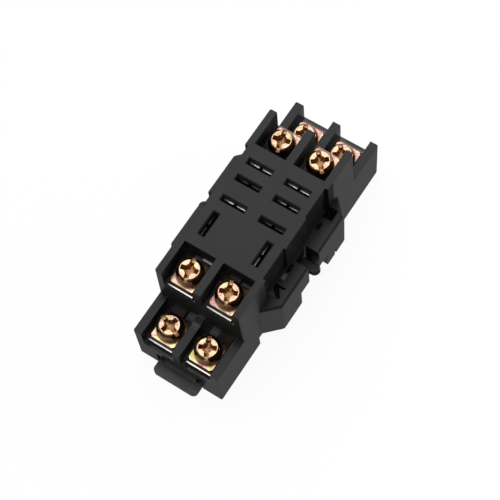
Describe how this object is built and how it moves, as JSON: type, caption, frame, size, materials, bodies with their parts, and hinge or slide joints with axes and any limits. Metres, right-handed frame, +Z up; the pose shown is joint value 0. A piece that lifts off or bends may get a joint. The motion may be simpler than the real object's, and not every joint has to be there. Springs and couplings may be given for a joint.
{
  "type": "relay socket",
  "caption": "Stepped black rail socket for a plug-in relay, with screw terminals on two tiers at each end, blade slots on top and a sprung rail latch.",
  "frame": {"origin": "on the mounting plane, in the middle of the channel that takes the 35 mm rail", "axes": "+X across the socket and along the rail, +Y along the socket away from the rail latch, +Z up out of the panel towards the relay"},
  "size_m": [0.0328, 0.071, 0.0264],
  "materials": {
    "black_housing": "moulded, semi-matt",
    "black_base": "moulded, semi-matt",
    "black_latch": "moulded, semi-matt",
    "plated_strip": "bright plated",
    "yellow_zinc_washer": "yellow passivated zinc",
    "yellow_zinc_screw": "yellow passivated zinc",
    "spring_steel": "drawn wire"
  },
  "bodies": {
    "socket": {"housing": "black_housing", "base_plate": "black_base", "latch_spring": "spring_steel", "terminal_1": "plated_strip", "terminal_2": "plated_strip", "terminal_3": "plated_strip", "terminal_4": "plated_strip", "terminal_5": "plated_strip", "terminal_6": "plated_strip", "terminal_7": "plated_strip", "terminal_8": "plated_strip"},
    "latch": {"rail_latch": "black_latch"},
    "washer_1": {"clamp_washer_1": "yellow_zinc_washer"},
    "screw_1": {"terminal_screw_1": "yellow_zinc_screw"},
    "washer_2": {"clamp_washer_2": "yellow_zinc_washer"},
    "screw_2": {"terminal_screw_2": "yellow_zinc_screw"},
    "washer_3": {"clamp_washer_3": "yellow_zinc_washer"},
    "screw_3": {"terminal_screw_3": "yellow_zinc_screw"},
    "washer_4": {"clamp_washer_4": "yellow_zinc_washer"},
    "screw_4": {"terminal_screw_4": "yellow_zinc_screw"},
    "washer_5": {"clamp_washer_5": "yellow_zinc_washer"},
    "screw_5": {"terminal_screw_5": "yellow_zinc_screw"},
    "washer_6": {"clamp_washer_6": "yellow_zinc_washer"},
    "screw_6": {"terminal_screw_6": "yellow_zinc_screw"},
    "washer_7": {"clamp_washer_7": "yellow_zinc_washer"},
    "screw_7": {"terminal_screw_7": "yellow_zinc_screw"},
    "washer_8": {"clamp_washer_8": "yellow_zinc_washer"},
    "screw_8": {"terminal_screw_8": "yellow_zinc_screw"}
  },
  "joints": [
    {"name": "latch_slide", "type": "slide", "parent": "socket", "child": "latch", "axis": [0, -1, 0], "range_m": [0, 0.003], "stiffness_N_per_m": 500, "springref_m": -0.001, "deforming": ["latch_spring"]},
    {"name": "washer_1_lift", "type": "slide", "parent": "socket", "child": "washer_1", "axis": [0, 0, 1], "range_m": [0, 0.0024]},
    {"name": "screw_1_turn", "type": "hinge", "parent": "washer_1", "child": "screw_1", "pos_m": [-0.0051, 0.02775, 0.0106], "axis": [0, 0, 1], "range_deg": [0, 1440]},
    {"name": "washer_2_lift", "type": "slide", "parent": "socket", "child": "washer_2", "axis": [0, 0, 1], "range_m": [0, 0.0024]},
    {"name": "screw_2_turn", "type": "hinge", "parent": "washer_2", "child": "screw_2", "pos_m": [0.0051, 0.02775, 0.0106], "axis": [0, 0, 1], "range_deg": [0, 1440]},
    {"name": "washer_3_lift", "type": "slide", "parent": "socket", "child": "washer_3", "axis": [0, 0, 1], "range_m": [0, 0.0024]},
    {"name": "screw_3_turn", "type": "hinge", "parent": "washer_3", "child": "screw_3", "pos_m": [-0.0051, 0.01865, 0.0222], "axis": [0, 0, 1], "range_deg": [0, 1440]},
    {"name": "washer_4_lift", "type": "slide", "parent": "socket", "child": "washer_4", "axis": [0, 0, 1], "range_m": [0, 0.0024]},
    {"name": "screw_4_turn", "type": "hinge", "parent": "washer_4", "child": "screw_4", "pos_m": [0.0051, 0.01865, 0.0222], "axis": [0, 0, 1], "range_deg": [0, 1440]},
    {"name": "washer_5_lift", "type": "slide", "parent": "socket", "child": "washer_5", "axis": [0, 0, 1], "range_m": [0, 0.0024]},
    {"name": "screw_5_turn", "type": "hinge", "parent": "washer_5", "child": "screw_5", "pos_m": [-0.0051, -0.01865, 0.0222], "axis": [0, 0, 1], "range_deg": [0, 1440]},
    {"name": "washer_6_lift", "type": "slide", "parent": "socket", "child": "washer_6", "axis": [0, 0, 1], "range_m": [0, 0.0024]},
    {"name": "screw_6_turn", "type": "hinge", "parent": "washer_6", "child": "screw_6", "pos_m": [0.0051, -0.01865, 0.0222], "axis": [0, 0, 1], "range_deg": [0, 1440]},
    {"name": "washer_7_lift", "type": "slide", "parent": "socket", "child": "washer_7", "axis": [0, 0, 1], "range_m": [0, 0.0024]},
    {"name": "screw_7_turn", "type": "hinge", "parent": "washer_7", "child": "screw_7", "pos_m": [-0.0051, -0.02865, 0.0106], "axis": [0, 0, 1], "range_deg": [0, 1440]},
    {"name": "washer_8_lift", "type": "slide", "parent": "socket", "child": "washer_8", "axis": [0, 0, 1], "range_m": [0, 0.0024]},
    {"name": "screw_8_turn", "type": "hinge", "parent": "washer_8", "child": "screw_8", "pos_m": [0.0051, -0.02865, 0.0106], "axis": [0, 0, 1], "range_deg": [0, 1440]}
  ],
  "couplings": [
    {"joint": "screw_1_turn", "follows": "washer_1_lift", "rad_per_m": 10472},
    {"joint": "screw_2_turn", "follows": "washer_2_lift", "rad_per_m": 10472},
    {"joint": "screw_3_turn", "follows": "washer_3_lift", "rad_per_m": 10472},
    {"joint": "screw_4_turn", "follows": "washer_4_lift", "rad_per_m": 10472},
    {"joint": "screw_5_turn", "follows": "washer_5_lift", "rad_per_m": 10472},
    {"joint": "screw_6_turn", "follows": "washer_6_lift", "rad_per_m": 10472},
    {"joint": "screw_7_turn", "follows": "washer_7_lift", "rad_per_m": 10472},
    {"joint": "screw_8_turn", "follows": "washer_8_lift", "rad_per_m": 10472}
  ]
}
